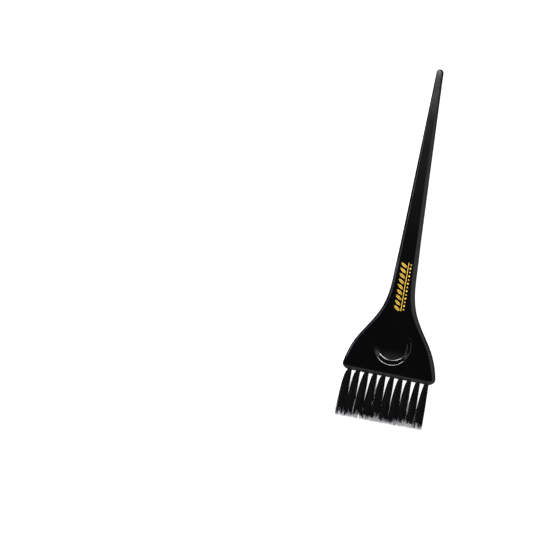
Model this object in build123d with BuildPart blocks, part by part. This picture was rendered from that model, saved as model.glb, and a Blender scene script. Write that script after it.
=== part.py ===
"""Hair tint brush: a flat moulded handle with a wide head, ten tufts in blind sockets, and thumb dishes.

Frame: the brush lies on its back face, which is z = 0.  +Z points out of the front face, +Y runs along
the handle to its tail, the bristles point to -Y and X runs across the head.  Millimetres.
"""
from build123d import *
import os
from math import atan2, cos, radians, sin, tan

# ---- Overall sizes ----
overall_length = 218.5
bristle_length = 27.8                 # the free bristles, from the head's edge to their tips
handle_length = overall_length - bristle_length
head_thickness = 3.8                  # at the bristle end
tail_thickness = 2.7
tip_y = -overall_length / 2
mouth_y = tip_y + bristle_length      # the head's bristle edge, where the sockets open

# ---- Handle outline: (half width, distance from the bristle edge), from the head to the handle ----
side_points = [
    (30.9, 0.0), (29.3, 8.7), (25.4, 18.7), (19.0, 28.7), (12.7, 38.7), (8.7, 50.7),
    (7.4, 65.7), (5.35, 110.7),
]
tail_radius = 2.25                    # beyond the last point the handle tapers straight to this
tail_taper = atan2(side_points[-1][0] - tail_radius, handle_length - side_points[-1][1])
head_corner_radius = 4.2
face_corner_radius = 1.2

# ---- Rim: a convex band, from a crease beside each face out to the widest line midway ----
edge_rim = 2.5                        # along the bristle edge, seen square to the face
head_rim = 1.6                        # at the head's widest, beside it
neck_rim = 2.75                       # what the side's rim would grow to at no width
rim_share = 0.4                       # of the half width, where the handle is too slim for more
crease_slope = radians(27)            # how steeply the rim falls away from the face
rim_shares = [0, 0.1, 0.25, 0.5, 0.75, 0.9, 1]    # of the thickness, where the rim's layers lie

# ---- Thumb dish on the front face, and a shallower one on the back ----
dish_radius = 12.7                    # to the outside of the rounded lip
dish_from_edge = 19.8
dish_lip_radius = 2.2
dish_foot_radius = 4.5                # between the wall and the floor
dish_floor_radius = 9.3
front_dish_slopes = radians(11.5), radians(20)    # at the floor's edge, and of the wall
back_dish_slopes = radians(2), radians(8)

# ---- Tufts ----
tuft_count = 10
tuft_pitch = 5.6
tip_pitch = 5.92
root_radius = 1.4                     # the bundle, where the socket holds it
root_clearance = 0.15                 # between the fixed root and the swinging part
hinge_from_edge = 0.8                 # the flex axis lies this far outside the head's edge
tip_half_width = 2.78
tip_half_height = 1.7
tip_round = 0.6

# ---- Sockets ----
socket_radius = 1.45
socket_depth = 7.0
drill_point = 0.8                     # depth of the cone at the socket's bottom

# ---- Anchors: a strip of wire driven in with each tuft, biting into the socket's walls ----
anchor_width = 3.5
anchor_height = 1.8
anchor_gauge = 0.4
fold_height = 1.4                     # bristle folded round the anchor's inner edge

tuft_z = head_thickness / 2
hinge_y = mouth_y - hinge_from_edge
socket_floor_y = mouth_y + socket_depth
anchor_y = socket_floor_y - fold_height - anchor_height / 2
tuft_xs = [(i - (tuft_count - 1) / 2) * tuft_pitch for i in range(tuft_count)]
tip_xs = [(i - (tuft_count - 1) / 2) * tip_pitch for i in range(tuft_count)]


def layer_plane(share):
    """Plane at a share of the thickness, which falls evenly from the head to the tail."""
    fall = share * (head_thickness - tail_thickness) / handle_length
    return Plane(origin=(0, mouth_y, share * head_thickness), x_dir=(1, 0, 0), z_dir=(0, fall, 1))


def rim_inset(rim, distance, height):
    """How far a layer is set in from the widest line; height is 0 at that line and 1 at a face."""
    depth = (head_thickness + (tail_thickness - head_thickness) * distance / handle_length) / 2
    return rim * height ** (depth / (rim * tan(crease_slope)))


def handle_outline(share):
    """The handle's outline on the layer at a share of the thickness."""
    def beside(half_width):
        full = neck_rim + (head_rim - neck_rim) * half_width / side_points[0][0]
        return min(full, rim_share * half_width)

    height = abs(2 * share - 1)
    edge = rim_inset(edge_rim, 0, height)
    corner = head_corner_radius + height * (face_corner_radius - head_corner_radius)
    side = [(w - rim_inset(beside(w), d, height), max(d, edge)) for w, d in side_points]
    tail = tail_radius - rim_inset(beside(tail_radius), handle_length, height)
    tail_centre = handle_length - tail_radius
    tail_side = (tail * cos(tail_taper), tail_centre + tail * sin(tail_taper))
    with BuildSketch(layer_plane(share)) as outline:
        with BuildLine():
            flare = Spline(*side, tangents=[(-0.1, 1), (-sin(tail_taper), cos(tail_taper))])
            taper = Line(side[-1], tail_side)
            mirror([flare, taper], about=Plane.YZ)
            ThreePointArc(tail_side, (0, tail_centre + tail), (-tail_side[0], tail_side[1]))
            Line((-side[0][0], edge), (side[0][0], edge))
        make_face()
        fillet(outline.vertices().group_by(Axis.Y)[0], corner)
    return outline.sketch.face()


def dish_section(face_point, outward, floor_slope, wall_slope):
    """Half section of a dish, up to a sharp lip, on a plane whose height runs outward."""
    lip = dish_radius - dish_lip_radius * tan(wall_slope / 2)
    foot = dish_floor_radius + dish_foot_radius * (sin(wall_slope) - sin(floor_slope))
    foot_z = -(lip - foot) * tan(wall_slope)
    floor_z = foot_z - dish_foot_radius * (cos(floor_slope) - cos(wall_slope))
    depth = dish_floor_radius * tan(floor_slope / 2) - floor_z
    above = 0.5
    across = Vector(1, 0, 0)
    with BuildSketch(Plane(face_point, x_dir=across, z_dir=across.cross(outward))) as section:
        with BuildLine():
            floor = TangentArc((0, -depth), (dish_floor_radius, floor_z), tangent=(1, 0))
            foot_arc = TangentArc(floor @ 1, (foot, foot_z), tangent=floor % 1)
            Polyline(foot_arc @ 1, (lip + above / tan(wall_slope), above), (0, above), (0, -depth))
        make_face()
    return section.sketch


# ---- Handle: one moulding ----
front = layer_plane(1.0)
front_dish = front.from_local_coords((0, dish_from_edge, 0))
back_dish = Vector(0, mouth_y + dish_from_edge, 0)

with BuildPart() as handle:
    loft([handle_outline(share) for share in rim_shares])
    for centre, outward, slopes in (
        (front_dish, front.z_dir, front_dish_slopes), (back_dish, Vector(0, 0, -1), back_dish_slopes),
    ):
        revolve(dish_section(centre, outward, *slopes), axis=Axis(centre, outward), mode=Mode.SUBTRACT)
    rims = handle.edges().filter_by(GeomType.CIRCLE)
    fillet(rims.filter_by(lambda edge: abs(edge.radius - dish_radius) < 1), dish_lip_radius)
    with BuildSketch(Plane.XZ.offset(-socket_floor_y)):
        with Locations(*[(x, tuft_z) for x in tuft_xs]):
            Circle(socket_radius)
    extrude(amount=socket_depth + 1, mode=Mode.SUBTRACT)
    with Locations(*[Location((x, socket_floor_y, tuft_z), (-90, 0, 0)) for x in tuft_xs]):
        Cone(socket_radius, 0, drill_point, align=(Align.CENTER, Align.CENTER, Align.MIN),
             mode=Mode.SUBTRACT)
    with Locations(*[(x, anchor_y, tuft_z) for x in tuft_xs]):
        Box(anchor_width, anchor_height, anchor_gauge, mode=Mode.SUBTRACT)
handle.part.label = "handle"

# ---- Tufts: a fixed root round its anchor, and the free bundle that swings outside the head ----
roots, anchors, tufts = [], [], []
for number, (x, tip_x) in enumerate(zip(tuft_xs, tip_xs), start=1):
    with BuildPart() as root:
        with BuildSketch(Plane.XZ.offset(-socket_floor_y)):
            with Locations((x, tuft_z)):
                Circle(root_radius)
        extrude(amount=socket_floor_y - hinge_y)
        fillet(root.edges().sort_by(Axis.Y)[-1], root_radius * 0.8)
        with Locations((x, hinge_y, tuft_z)):
            Sphere(root_radius + root_clearance, mode=Mode.SUBTRACT)
        with Locations((x, anchor_y, tuft_z)):
            Box(anchor_width, anchor_height, anchor_gauge, mode=Mode.SUBTRACT)
    root.part.label = f"tuft_root_{number:02d}"
    roots.append(root.part)

    with BuildPart() as anchor:
        with Locations((x, anchor_y, tuft_z)):
            Box(anchor_width, anchor_height, anchor_gauge)
    anchor.part.label = f"anchor_{number:02d}"
    anchors.append(anchor.part)

    with BuildPart() as tuft:
        with BuildSketch(Plane.XZ.offset(-hinge_y)):
            with Locations((x, tuft_z)):
                Circle(root_radius)
        with BuildSketch(Plane.XZ.offset(-tip_y)):
            with Locations((tip_x, tuft_z)):
                Ellipse(tip_half_width, tip_half_height)
        loft()
        fillet(tuft.edges().sort_by(Axis.Y)[0], tip_round)
        with Locations((x, hinge_y, tuft_z)):
            Sphere(root_radius)
    tuft.part.label = f"tuft_{number:02d}"
    tufts.append(tuft.part)

# ---- One STEP file for each piece ----
os.makedirs("parts", exist_ok=True)
for piece in [handle.part] + roots + anchors + tufts:
    export_step(piece, f"parts/{piece.label}.step")
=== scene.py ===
"""Hair tint brush on a plain pale floor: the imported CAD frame, with its finishes, bristles and print."""
import math

import bpy
import numpy as np
from mathutils import Matrix, Vector


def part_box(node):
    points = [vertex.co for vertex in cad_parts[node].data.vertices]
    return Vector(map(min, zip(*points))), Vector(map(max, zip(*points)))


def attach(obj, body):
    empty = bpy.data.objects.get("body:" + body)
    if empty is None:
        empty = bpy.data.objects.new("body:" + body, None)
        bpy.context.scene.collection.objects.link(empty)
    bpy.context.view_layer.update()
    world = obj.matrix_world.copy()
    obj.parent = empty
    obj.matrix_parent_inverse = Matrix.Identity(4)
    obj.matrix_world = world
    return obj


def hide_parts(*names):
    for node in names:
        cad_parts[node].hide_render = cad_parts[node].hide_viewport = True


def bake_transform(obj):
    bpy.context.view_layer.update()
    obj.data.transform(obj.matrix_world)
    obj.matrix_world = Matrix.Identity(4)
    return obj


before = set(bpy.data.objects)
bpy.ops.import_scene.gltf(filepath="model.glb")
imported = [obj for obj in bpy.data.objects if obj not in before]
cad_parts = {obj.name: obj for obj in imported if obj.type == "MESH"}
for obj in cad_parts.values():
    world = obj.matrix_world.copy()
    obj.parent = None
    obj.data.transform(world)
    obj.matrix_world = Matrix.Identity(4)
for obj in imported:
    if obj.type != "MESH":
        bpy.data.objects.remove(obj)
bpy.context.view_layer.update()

MM = 0.001
scene = bpy.context.scene

# ---- Places read from the frame ----
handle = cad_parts["handle"]
handle_lo, handle_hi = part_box("handle")
TAIL_Y = handle_hi.y
MOUTH_Y = handle_lo.y                      # the head's bristle edge
TIP_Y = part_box("tuft_05")[0].y             # the bristles' tips
TUFTS = [f"{n:02d}" for n in range(1, 11)]


# ---- Camera: above the brush, turned to its right, with the tail leaning right in the frame ----
VIEW_PITCH = math.radians(-0.54)
VIEW_TURN = math.radians(-21.4)
VIEW_ROLL = math.radians(-10.25)
VIEW_DISTANCE = 2.0
VIEW_LENS = 221.9
TAIL_IN_VIEW = (0.1058, 0.1201)            # the tail, right of and above the frame's centre, in metres


def make_camera():
    turn = (Matrix.Rotation(VIEW_PITCH, 3, "X") @ Matrix.Rotation(VIEW_TURN, 3, "Y")
            @ Matrix.Rotation(VIEW_ROLL, 3, "Z")).transposed()
    offset = turn @ Vector((-TAIL_IN_VIEW[0], -TAIL_IN_VIEW[1], VIEW_DISTANCE))
    data = bpy.data.cameras.new("camera")
    data.lens, data.sensor_width = VIEW_LENS, 36.0
    data.clip_end = 50.0
    camera = bpy.data.objects.new("camera", data)
    camera.matrix_world = Matrix.Translation(Vector((0, TAIL_Y, 2 * MM)) + offset) @ turn.to_4x4()
    scene.collection.objects.link(camera)
    scene.camera = camera


# ---- Node helpers ----
def add(tree, kind, **values):
    """A new node. Values name its properties, or its inputs with their spaces as underscores."""
    node = tree.nodes.new(kind)
    for name, value in values.items():
        if hasattr(node, name):
            setattr(node, name, value)
        else:
            node.inputs[name.replace("_", " ")].default_value = value
    return node


def remap(tree, source, low, high, new_low=0.0, new_high=1.0):
    """The source's value, moved from low..high to new_low..new_high and held there."""
    node = add(tree, "ShaderNodeMapRange", interpolation_type="SMOOTHSTEP")
    for index, value in enumerate((low, high, new_low, new_high), start=1):
        node.inputs[index].default_value = value
    tree.links.new(source, node.inputs[0])
    return node.outputs[0]


def mix(tree, share, first, second):
    """A colour between two, each a colour or a socket."""
    node = add(tree, "ShaderNodeMix", data_type="RGBA")
    tree.links.new(share, node.inputs[0])
    for socket, value in ((node.inputs[6], first), (node.inputs[7], second)):
        if isinstance(value, bpy.types.NodeSocket):
            tree.links.new(value, socket)
        else:
            socket.default_value = (*value, 1.0)
    return node.outputs[2]


# ---- Stage: a white floor in a pale tent, which is open above the brush's face ----
OPENING = (-0.365, 0.0, 0.931)             # what the flat face mirrors to the camera
LEFT_WALL = (-0.9, 0.436, 0.0)             # the tent's brightest side, mirrored by the left rim
TENT_HIGH = (0.85, 0.85, 0.88)
TENT_LOW = (0.42, 0.42, 0.44)
TENT_LEFT = (2.6, 2.85, 3.15)
TENT_OPENING = (0.05, 0.05, 0.055)
UNDER_HORIZON = (0.07, 0.07, 0.08)
OPENING_EDGE = (0.656, 0.731)              # cosines of the angle from the opening's middle
LEFT_EDGE = (0.5, 0.82)                    # cosines of the angle from the left wall's middle
WALL_FADE = (0.1, 0.7)                     # these four are sines of the elevation, where one tone fades
HORIZON_FADE = (0.0, 0.12)                 # into the next
LEFT_TOP_FADE = (0.40, 0.32)
LEFT_FOOT_FADE = (0.13, 0.23)
FLOOR_HALF = 6.0
FLOOR_Z = -0.05 * MM
FLOOR_GREY = 0.86
FLOOR_GLOW = 0.86                          # keeps the brush's own shadow faint
CARD_Z = 0.57                              # a graded card over the opening, brightest toward the tail
CARD_X = (-0.95, 0.3)
CARD_Y = (-0.03, 0.2)
CARD_GRADES = [                            # (place along Y, strength)
    (-0.012, 0.08), (0.02, 0.15), (0.055, 0.27), (0.076, 0.3),
    (0.092, 0.7), (0.104, 1.1), (0.125, 1.1), (0.2, 0.5),
]
LIGHTS = [                                 # name, place, aim, size and watts
    ("key", (-0.22, 0.145, 0.56), (-0.22, -0.06, 0), (0.6, 0.042), 2.4),
    ("left_strip", (-0.55, -0.1, 0.56), (-0.55, -0.1, 0), (0.14, 0.22), 0.16),
]


def make_world():
    world = bpy.data.worlds.new("tent")
    world.use_nodes = True
    scene.world = world
    tree = world.node_tree
    toward = add(tree, "ShaderNodeTexCoord").outputs["Generated"]

    def along(direction):
        dot = add(tree, "ShaderNodeVectorMath", operation="DOT_PRODUCT")
        dot.inputs[1].default_value = direction
        tree.links.new(toward, dot.inputs[0])
        return dot.outputs["Value"]

    height = along((0, 0, 1))
    walls = mix(tree, remap(tree, height, *WALL_FADE), TENT_LOW, TENT_HIGH)
    walls = mix(tree, remap(tree, height, *HORIZON_FADE), UNDER_HORIZON, walls)
    left = mix(tree, remap(tree, height, *LEFT_TOP_FADE), TENT_HIGH, TENT_LEFT)
    left = mix(tree, remap(tree, height, *LEFT_FOOT_FADE), UNDER_HORIZON, left)
    walls = mix(tree, remap(tree, along(LEFT_WALL), *LEFT_EDGE), walls, left)
    all_round = mix(tree, remap(tree, along(OPENING), *OPENING_EDGE), walls, TENT_OPENING)
    background = tree.nodes["Background"]
    tree.links.new(all_round, background.inputs["Color"])


def stage_sheet(name, xs, ys, z, mat):
    """A flat rectangle of the stage, which is no part of the brush."""
    corners = [(xs[0], ys[0], z), (xs[1], ys[0], z), (xs[1], ys[1], z), (xs[0], ys[1], z)]
    mesh = bpy.data.meshes.new(name)
    mesh.from_pydata(corners, [], [(0, 1, 2, 3)])
    mesh.materials.append(mat)
    sheet = bpy.data.objects.new(name, mesh)
    scene.collection.objects.link(sheet)
    return sheet


def make_floor():
    white, _, bsdf = material("floor")
    bsdf.inputs["Base Color"].default_value = (FLOOR_GREY, FLOOR_GREY, FLOOR_GREY, 1)
    bsdf.inputs["Roughness"].default_value = 0.9
    bsdf.inputs["Emission Color"].default_value = (1, 1, 1, 1)
    bsdf.inputs["Emission Strength"].default_value = FLOOR_GLOW
    floor = stage_sheet("floor", (-FLOOR_HALF, FLOOR_HALF), (-FLOOR_HALF, FLOOR_HALF), FLOOR_Z, white)
    floor.visible_glossy = False


def make_card():
    """The graded card: only reflections see it."""
    glow, tree, bsdf = material("card")
    bsdf.inputs["Base Color"].default_value = (0, 0, 0, 1)
    bsdf.inputs["Specular IOR Level"].default_value = 0.0
    place = add(tree, "ShaderNodeSeparateXYZ")
    tree.links.new(add(tree, "ShaderNodeTexCoord").outputs["Object"], place.inputs[0])
    share = add(tree, "ShaderNodeMapRange")
    tree.links.new(place.outputs["Y"], share.inputs[0])
    share.inputs[1].default_value, share.inputs[2].default_value = CARD_Y
    ramp = add(tree, "ShaderNodeValToRGB")
    stops = ramp.color_ramp.elements
    while len(stops) < len(CARD_GRADES):
        stops.new(0.5)
    for stop, (y, grade) in zip(stops, CARD_GRADES):
        stop.position, stop.color = (y - CARD_Y[0]) / (CARD_Y[1] - CARD_Y[0]), (grade, grade, grade, 1)
    tree.links.new(share.outputs[0], ramp.inputs[0])
    tree.links.new(ramp.outputs[0], bsdf.inputs["Emission Color"])
    bsdf.inputs["Emission Strength"].default_value = 1.0
    card = stage_sheet("card", CARD_X, CARD_Y, CARD_Z, glow)
    card.visible_camera = card.visible_diffuse = card.visible_shadow = False


def area_light(name, place, aim, size, watts):
    data = bpy.data.lights.new(name, "AREA")
    data.shape = "RECTANGLE"
    data.size, data.size_y = size
    data.energy = watts
    light = bpy.data.objects.new(name, data)
    light.location = place
    light.rotation_euler = (Vector(aim) - Vector(place)).to_track_quat("-Z", "Y").to_euler()
    light.visible_camera = False
    scene.collection.objects.link(light)


# ---- Materials ----
def material(name):
    mat = bpy.data.materials.new(name)
    mat.use_nodes = True
    return mat, mat.node_tree, mat.node_tree.nodes["Principled BSDF"]


def noise(tree, stretch, detail=3.0):
    """Noise in the object's own space; stretch gives its grains per metre along X, Y and Z."""
    place = add(tree, "ShaderNodeTexCoord").outputs["Object"]
    mapping = add(tree, "ShaderNodeMapping", Scale=stretch)
    tree.links.new(place, mapping.inputs["Vector"])
    texture = add(tree, "ShaderNodeTexNoise", Scale=1.0, Detail=detail)
    tree.links.new(mapping.outputs[0], texture.inputs["Vector"])
    return texture.outputs[0]


def bump(tree, bsdf, height, depth):
    node = add(tree, "ShaderNodeBump", Strength=1.0, Distance=depth)
    tree.links.new(height, node.inputs["Height"])
    tree.links.new(node.outputs[0], bsdf.inputs["Normal"])


def black_plastic():
    """Glossy black moulding: a faint orange peel, cloudy polish and fine wear along the handle."""
    mat, tree, bsdf = material("black_moulded_plastic")
    clouds = noise(tree, (160, 70, 160))
    wear = noise(tree, (5200, 160, 5200), 4.0)
    polish = add(tree, "ShaderNodeMath", operation="ADD")
    tree.links.new(remap(tree, clouds, 0.35, 0.7, 0.05, 0.085), polish.inputs[0])
    tree.links.new(remap(tree, wear, 0.6, 0.75, 0.0, 0.03), polish.inputs[1])
    tree.links.new(polish.outputs[0], bsdf.inputs["Roughness"])
    tree.links.new(mix(tree, clouds, (0.0006, 0.0006, 0.0008), (0.0016, 0.0016, 0.0019)),
                   bsdf.inputs["Base Color"])
    bump(tree, bsdf, noise(tree, (420, 420, 420), 2.0), 0.004 * MM)
    bsdf.inputs["IOR"].default_value = 1.5
    return mat


def bristle_black():
    """Dyed nylon: near black, with each filament a little lighter or darker than the next."""
    mat, tree, bsdf = material("dyed_bristle")
    streaks = noise(tree, (4200, 60, 4200), 2.0)
    tree.links.new(mix(tree, remap(tree, streaks, 0.35, 0.7), (0.0012, 0.0012, 0.0016), (0.008, 0.008, 0.010)),
                   bsdf.inputs["Base Color"])
    tree.links.new(remap(tree, streaks, 0.3, 0.7, 0.5, 0.34), bsdf.inputs["Roughness"])
    bsdf.inputs["Specular IOR Level"].default_value = 0.18
    return mat


def bristle_pale():
    """The undyed, feathered ends."""
    mat, tree, bsdf = material("feathered_tip")
    streaks = noise(tree, (3800, 500, 3800), 2.0)
    tree.links.new(mix(tree, streaks, (0.62, 0.62, 0.63), (0.95, 0.95, 0.96)), bsdf.inputs["Base Color"])
    tree.links.new(remap(tree, streaks, 0.3, 0.7, 0.6, 0.42), bsdf.inputs["Roughness"])
    bsdf.inputs["Specular IOR Level"].default_value = 0.3
    return mat


def gold_ink():
    mat, tree, bsdf = material("gold_print")
    grain = noise(tree, (2600, 2600, 2600), 3.0)
    tree.links.new(mix(tree, grain, (0.86, 0.50, 0.045), (1.0, 0.66, 0.09)), bsdf.inputs["Base Color"])
    tree.links.new(remap(tree, grain, 0.3, 0.7, 0.34, 0.5), bsdf.inputs["Roughness"])
    bump(tree, bsdf, grain, 0.003 * MM)
    bsdf.inputs["Metallic"].default_value = 0.25
    return mat


def anchor_brass():
    mat, tree, bsdf = material("drawn_brass")
    lines = noise(tree, (300, 9000, 9000), 3.0)
    tree.links.new(mix(tree, lines, (0.55, 0.36, 0.12), (0.78, 0.56, 0.24)), bsdf.inputs["Base Color"])
    tree.links.new(remap(tree, lines, 0.3, 0.7, 0.22, 0.4), bsdf.inputs["Roughness"])
    bump(tree, bsdf, lines, 0.004 * MM)
    bsdf.inputs["Metallic"].default_value = 1.0
    return mat


# ---- Bristles: every tuft is a bundle of filaments, packed in its socket and fanning to feathered tips ----
FILAMENTS = 220
FILAMENT_RADIUS = 0.1 * MM
ROOT_REACH = 3.4 * MM                      # how far each filament runs into its socket
TIP_PITCH = 5.67 * MM
TIP_SHIFT = -1.6 * MM                      # the whole fringe leans to the brush's left
TIP_HALF_WIDTH = 3.1 * MM
TIP_HALF_HEIGHT = 1.6 * MM
TIP_SLANT = 1.0 * MM                       # how much longer the left end of the fringe is than the right
CLUMPS = 17                                # groups of filaments in a tuft that draw together at their tips
CLUMP_POWER = 6                            # how late along the free length they draw together
FAN = 0.52                                 # power of the fanning; the lower, the nearer to the head it starts
FAN_STEP = 0.02                            # added from each tuft to the next
STRAYS = 0.04                              # share of the filaments that sway well out of line
FIRST_TUFT_EDGE = -0.75                    # share of the first tuft's radius, outside which its wisps are long
LOWEST = 0.12 * MM                         # no filament's middle runs nearer to the floor
SHAFT_SIDES, HAIR_SIDES = 5, 4
HAIRS_EACH = 2                             # pale hairs that split from each filament
HAIR_OVERLAP = 0.01                        # share of the length that a hair starts inside its shaft
SHAFT_TAPER = (1.0, 0.72)                  # of the filament's radius, from root to tip
HAIR_TAPER = (0.5, 0.2)
FIRST_SEED = 410
SHAFT_STEPS = np.array([0.0, 0.06, 0.16, 0.28, 0.4, 0.52, 0.64, 0.76, 0.88, 1.0])    # from mouth to tip
HAIR_STEPS = np.array([0.0, 0.35, 0.7, 1.0])
GOLDEN_ANGLE = math.pi * (3 - math.sqrt(5))


def tubes(paths, radii, sides):
    """Closed tubes along paths of shape (tube, ring, 3), which all run about along Y."""
    count, rings, _ = paths.shape
    angles = np.arange(sides) * 2 * math.pi / sides
    circle = np.column_stack((np.cos(angles), np.zeros(sides), np.sin(angles)))
    points = paths[:, :, None, :] + radii[:, :, None, None] * circle
    index = np.arange(count * rings * sides).reshape(count, rings, sides)
    following = np.roll(index, -1, axis=2)
    quads = np.stack((index[:, :-1], following[:, :-1], following[:, 1:], index[:, 1:]), axis=-1).reshape(-1, 4)
    caps = index[:, 0, ::-1].tolist() + index[:, -1].tolist()
    return points.reshape(-1, 3), quads.tolist() + caps


def filaments(random, number, root, root_radius):
    """Paths of one tuft's dyed shafts, and of the pale hairs at their tips."""
    turn = np.arange(FILAMENTS) * GOLDEN_ANGLE
    reach = np.sqrt((np.arange(FILAMENTS) + 0.5) / FILAMENTS)
    disc = np.column_stack((reach * np.cos(turn), reach * np.sin(turn)))
    seeds = disc[random.choice(FILAMENTS, CLUMPS, replace=False)]
    nearest = np.argmin(((disc[:, None] - seeds) ** 2).sum(-1), axis=1)
    spread = disc + random.normal(0, 0.09, disc.shape)
    drawn = (seeds[nearest] - disc) * random.uniform(0.4, 0.85, CLUMPS)[nearest, None]

    side = number - (len(TUFTS) - 1) / 2
    width = TIP_HALF_WIDTH * random.uniform(0.97, 1.08)
    centre = TIP_SHIFT + side * TIP_PITCH + random.normal(0, 0.12) * MM
    packed = root_radius - FILAMENT_RADIUS / 2
    start = root.x + disc[:, 0] * packed, root.z + disc[:, 1] * packed
    end = centre + spread[:, 0] * width, root.z + spread[:, 1] * TIP_HALF_HEIGHT

    slant = TIP_SLANT * (0.5 - side / len(TUFTS))
    uneven = random.normal(0, 0.3, CLUMPS)[nearest] + random.normal(0, 0.3, FILAMENTS)
    length = MOUTH_Y - TIP_Y + slant + uneven * MM
    pale = 1.4 + 1.0 * random.normal(0, 1, CLUMPS)[nearest] + random.exponential(0.7, FILAMENTS)
    if number == 0:
        pale = pale + np.where(disc[:, 0] < FIRST_TUFT_EDGE, random.uniform(1, 9, FILAMENTS), 0)
    pale = pale.clip(0.6, 12) * MM
    stray = random.random(FILAMENTS) < STRAYS
    sway = random.normal(0, 1, (2, FILAMENTS)) * np.where(stray, 0.55, 0.13) * MM
    lift = random.normal(0, 0.08, FILAMENTS) * MM
    fan = FAN + FAN_STEP * number + random.normal(0, 0.05, FILAMENTS)

    def at(share):
        """Points at shares of the free length, for each filament; below 0 they are in the socket."""
        out = np.clip(share, 0, None)
        grown = out ** fan[:, None]
        gathered = out ** CLUMP_POWER
        x = start[0][:, None] + (end[0] - start[0])[:, None] * grown
        z = start[1][:, None] + (end[1] - start[1])[:, None] * grown
        x = x + sway[0][:, None] * np.sin(math.pi * out) + sway[1][:, None] * np.sin(2.3 * math.pi * out) * 0.5
        x = x + drawn[:, :1] * width * gathered
        z = z + drawn[:, 1:] * TIP_HALF_HEIGHT * gathered + lift[:, None] * np.sin(math.pi * out)
        y = MOUTH_Y - share * length[:, None]
        return np.stack((x, y, np.maximum(z, LOWEST)), axis=-1)

    dyed = (1 - pale / length)[:, None]
    inside = np.full((FILAMENTS, 1), -ROOT_REACH) / length[:, None]
    shafts = at(np.hstack((inside, SHAFT_STEPS * dyed)))
    shaft_radii = FILAMENT_RADIUS * np.linspace(*SHAFT_TAPER, shafts.shape[1]) * np.ones((FILAMENTS, 1))

    hairs = []
    for _ in range(HAIRS_EACH):
        along = HAIR_STEPS * random.uniform(0.8, 1.06, (FILAMENTS, 1))
        hair = at(dyed - HAIR_OVERLAP + (1 + HAIR_OVERLAP - dyed) * along)
        away = random.normal(0, 0.16, (FILAMENTS, 1, 2)) * MM * (HAIR_STEPS[:, None] ** 1.4)
        hair[:, :, 0] += away[:, :, 0]
        hair[:, :, 2] = np.maximum(hair[:, :, 2] + away[:, :, 1], LOWEST)
        hairs.append(hair)
    hairs = np.concatenate(hairs)
    hair_radii = FILAMENT_RADIUS * np.linspace(*HAIR_TAPER, len(HAIR_STEPS)) * np.ones((len(hairs), 1))
    return (shafts, shaft_radii), (hairs, hair_radii)


def make_tuft(number, black, pale):
    name = TUFTS[number]
    lo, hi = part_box(f"tuft_root_{name}")
    root = (lo + hi) / 2
    random = np.random.default_rng(FIRST_SEED + number)
    (shafts, shaft_radii), (hairs, hair_radii) = filaments(random, number, root, (hi.x - lo.x) / 2)
    shaft_points, shaft_faces = tubes(shafts, shaft_radii, SHAFT_SIDES)
    hair_points, hair_faces = tubes(hairs, hair_radii, HAIR_SIDES)
    hair_faces = [[corner + len(shaft_points) for corner in face] for face in hair_faces]

    mesh = bpy.data.meshes.new(f"tuft_fibres_{name}")
    mesh.from_pydata(np.vstack((shaft_points, hair_points)).tolist(), [], shaft_faces + hair_faces)
    mesh.materials.append(black)
    mesh.materials.append(pale)
    mesh.polygons.foreach_set("material_index", [0] * len(shaft_faces) + [1] * len(hair_faces))
    mesh.shade_smooth()
    tuft = bpy.data.objects.new(mesh.name, mesh)
    scene.collection.objects.link(tuft)
    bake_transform(tuft)
    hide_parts(f"tuft_{name}", f"tuft_root_{name}")


# ---- Print: a sprig in gold ink, on the front face where the handle leaves the head ----
STEM_X = 1.6 * MM
STEM_START = MOUTH_Y + 41.3 * MM
STEM_LENGTH = 30.0 * MM
STEM_WIDTH = 0.5 * MM
LEAVES = 9
LEAF_LENGTH = 4.9 * MM
LEAF_WIDTH = 1.7 * MM
LEAF_GAP = 0.5 * MM                        # between a leaf and the stem
LEAF_TURN = math.radians(56)               # away from the stem
RIB_WIDTH = 0.34 * MM
BERRIES = 13
BERRY_OFFSET = 1.6 * MM                    # right of the stem
BERRY_RADIUS = 0.62 * MM
BERRY_SHRINK = 0.75                        # the radius of every other berry, as a share of the rest
INK_RISE = 0.03 * MM                       # above the face
INK_ROOT = 0.03 * MM                       # below it
EDGE_STEPS = 12                            # along a leaf's edge
BERRY_CORNERS = 20


def face_height(y):
    """The front face's height above the floor at this distance along the brush."""
    hit, place, _, _ = handle.ray_cast(Vector((0, y, 1)), Vector((0, 0, -1)))
    return place.z


def slab(outline, points, faces):
    """Adds a thin closed solid of this flat outline, which runs anticlockwise, sunk a little into the face."""
    base, count = len(points), len(outline)
    near, far = STEM_START, STEM_START + STEM_LENGTH
    slope = (face_height(far) - face_height(near)) / (far - near)
    for rise in (-INK_ROOT, INK_RISE):
        points.extend((x, y, face_height(near) + slope * (y - near) + rise) for x, y in outline)
    faces.append([base + i for i in reversed(range(count))])
    faces.append([base + count + i for i in range(count)])
    faces.extend([base + i, base + (i + 1) % count, base + count + (i + 1) % count, base + count + i]
                 for i in range(count))


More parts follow.
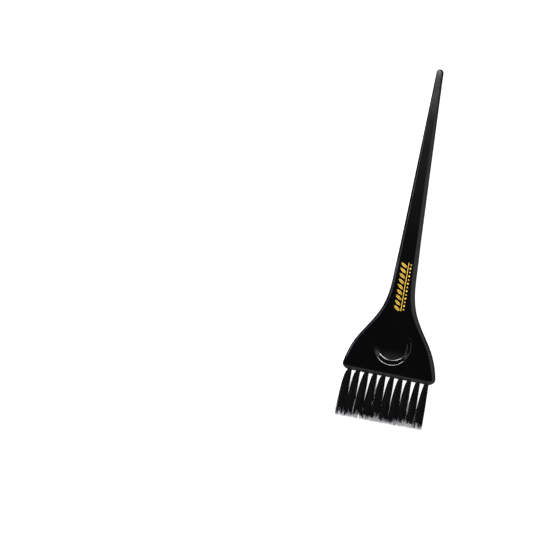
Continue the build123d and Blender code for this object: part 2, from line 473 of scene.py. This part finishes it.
def half_leaf(foot, side):
    """One half of a leaf, from the rib's edge to the leaf's own, as points (x, y)."""
    rib, swell = RIB_WIDTH / 2, (LEAF_WIDTH - RIB_WIDTH) / 2
    shares = [k / EDGE_STEPS for k in range(EDGE_STEPS + 1)]
    edge = [(LEAF_LENGTH * share, rib + swell * math.sin(math.pi * share)) for share in shares]
    shape = [(0, rib - 0.01 * MM)] + edge + [(LEAF_LENGTH, rib - 0.01 * MM)]
    out = Vector((-math.sin(LEAF_TURN), math.cos(LEAF_TURN)))
    across = Vector((out.y, -out.x)) * side
    placed = [tuple(foot + out * along + across * aside) for along, aside in shape]
    return placed if side < 0 else placed[::-1]


def make_sprig(ink):
    points, faces = [], []
    half = STEM_WIDTH / 2
    top = STEM_START + STEM_LENGTH
    slab([(STEM_X - half, STEM_START), (STEM_X + half, STEM_START), (STEM_X + half, top), (STEM_X - half, top)],
         points, faces)
    for n in range(LEAVES):
        foot = Vector((STEM_X - half - LEAF_GAP, STEM_START + STEM_LENGTH * n / LEAVES))
        for side in (-1, 1):
            slab(half_leaf(foot, side), points, faces)
    for n in range(BERRIES):
        centre = Vector((STEM_X + BERRY_OFFSET, STEM_START + STEM_LENGTH * (n + 0.5) / BERRIES))
        radius = BERRY_RADIUS * (1.0 if n % 2 else BERRY_SHRINK)
        angles = [2 * math.pi * k / BERRY_CORNERS for k in range(BERRY_CORNERS)]
        slab([(centre.x + radius * math.cos(a), centre.y + radius * math.sin(a)) for a in angles], points, faces)
    mesh = bpy.data.meshes.new("gold_sprig")
    mesh.from_pydata(points, [], faces)
    mesh.materials.append(ink)
    sprig = bpy.data.objects.new(mesh.name, mesh)
    scene.collection.objects.link(sprig)
    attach(sprig, "handle")


def main():
    make_camera()
    make_world()
    make_floor()
    make_card()
    for light in LIGHTS:
        area_light(*light)
    scene.view_settings.view_transform = "Standard"
    handle.data.materials[0] = black_plastic()
    brass = anchor_brass()
    black, pale = bristle_black(), bristle_pale()
    for number, name in enumerate(TUFTS):
        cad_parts[f"anchor_{name}"].data.materials[0] = brass
        make_tuft(number, black, pale)
    make_sprig(gold_ink())


main()
